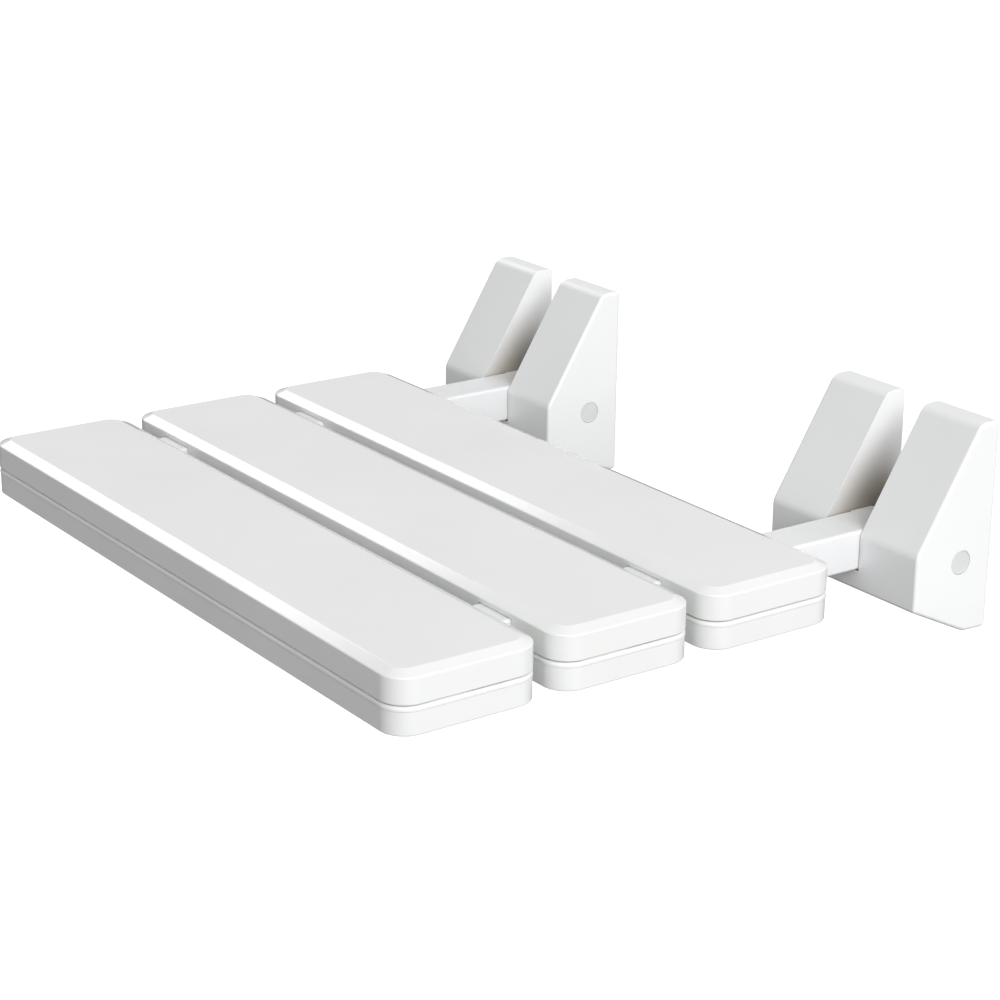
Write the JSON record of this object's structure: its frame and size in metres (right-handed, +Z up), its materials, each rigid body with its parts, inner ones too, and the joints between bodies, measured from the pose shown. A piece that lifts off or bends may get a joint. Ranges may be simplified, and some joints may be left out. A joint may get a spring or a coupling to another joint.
{
  "type": "wall-mounted folding shower seat",
  "caption": "Fold-down shower seat: long slats with drain gaps on hinged arms that swing up between two wall brackets.",
  "frame": {"origin": "on the wall's face, midway between the two brackets and level with the pivots", "axes": "+X along the wall and along the slats, +Y into the wall, +Z up; the seat is drawn folded down, reaching along -Y"},
  "size_m": [0.4048, 0.347, 0.1073],
  "materials": {
    "slat_plastic": "satin moulded, very fine grain",
    "cover_plastic": "smooth semi-gloss moulded",
    "cap_plastic": "matt moulded",
    "arm_coating": "white powder coat on aluminium",
    "nylon": "white nylon, fine grain",
    "rubber": "matt",
    "steel": "stainless, fine brushed"
  },
  "bodies": {
    "brackets": {"right_wall_plate": "steel", "right_bracket_cover": "cover_plastic", "right_stop_pad": "rubber", "right_pivot_pin": "steel", "right_pivot_nut": "steel", "right_outer_washer": "steel", "right_inner_washer": "steel", "right_outer_cap": "cap_plastic", "right_inner_cap": "cap_plastic", "left_wall_plate": "steel", "left_bracket_cover": "cover_plastic", "left_stop_pad": "rubber", "left_pivot_pin": "steel", "left_pivot_nut": "steel", "left_outer_washer": "steel", "left_inner_washer": "steel", "left_outer_cap": "cap_plastic", "left_inner_cap": "cap_plastic"},
    "seat": {"right_arm_tube": "arm_coating", "right_arm_end_cap": "nylon", "right_pivot_block": "nylon", "right_outer_bush": "nylon", "right_inner_bush": "nylon", "right_block_screw_1": "steel", "right_block_screw_2": "steel", "left_arm_tube": "arm_coating", "left_arm_end_cap": "nylon", "left_pivot_block": "nylon", "left_outer_bush": "nylon", "left_inner_bush": "nylon", "left_block_screw_1": "steel", "left_block_screw_2": "steel", "front_slat_upper_shell": "slat_plastic", "front_slat_lower_shell": "slat_plastic", "front_slat_screw_1": "steel", "front_slat_screw_2": "steel", "front_slat_screw_3": "steel", "front_slat_screw_4": "steel", "middle_slat_upper_shell": "slat_plastic", "middle_slat_lower_shell": "slat_plastic", "middle_slat_screw_1": "steel", "middle_slat_screw_2": "steel", "middle_slat_screw_3": "steel", "middle_slat_screw_4": "steel", "rear_slat_upper_shell": "slat_plastic", "rear_slat_lower_shell": "slat_plastic", "rear_slat_screw_1": "steel", "rear_slat_screw_2": "steel", "rear_slat_screw_3": "steel", "rear_slat_screw_4": "steel"}
  },
  "joints": [
    {"name": "seat_fold", "type": "hinge", "parent": "brackets", "child": "seat", "pos_m": [0, -0.0205, 0], "axis": [-1, 0, 0], "range_deg": [0, 90]}
  ]
}
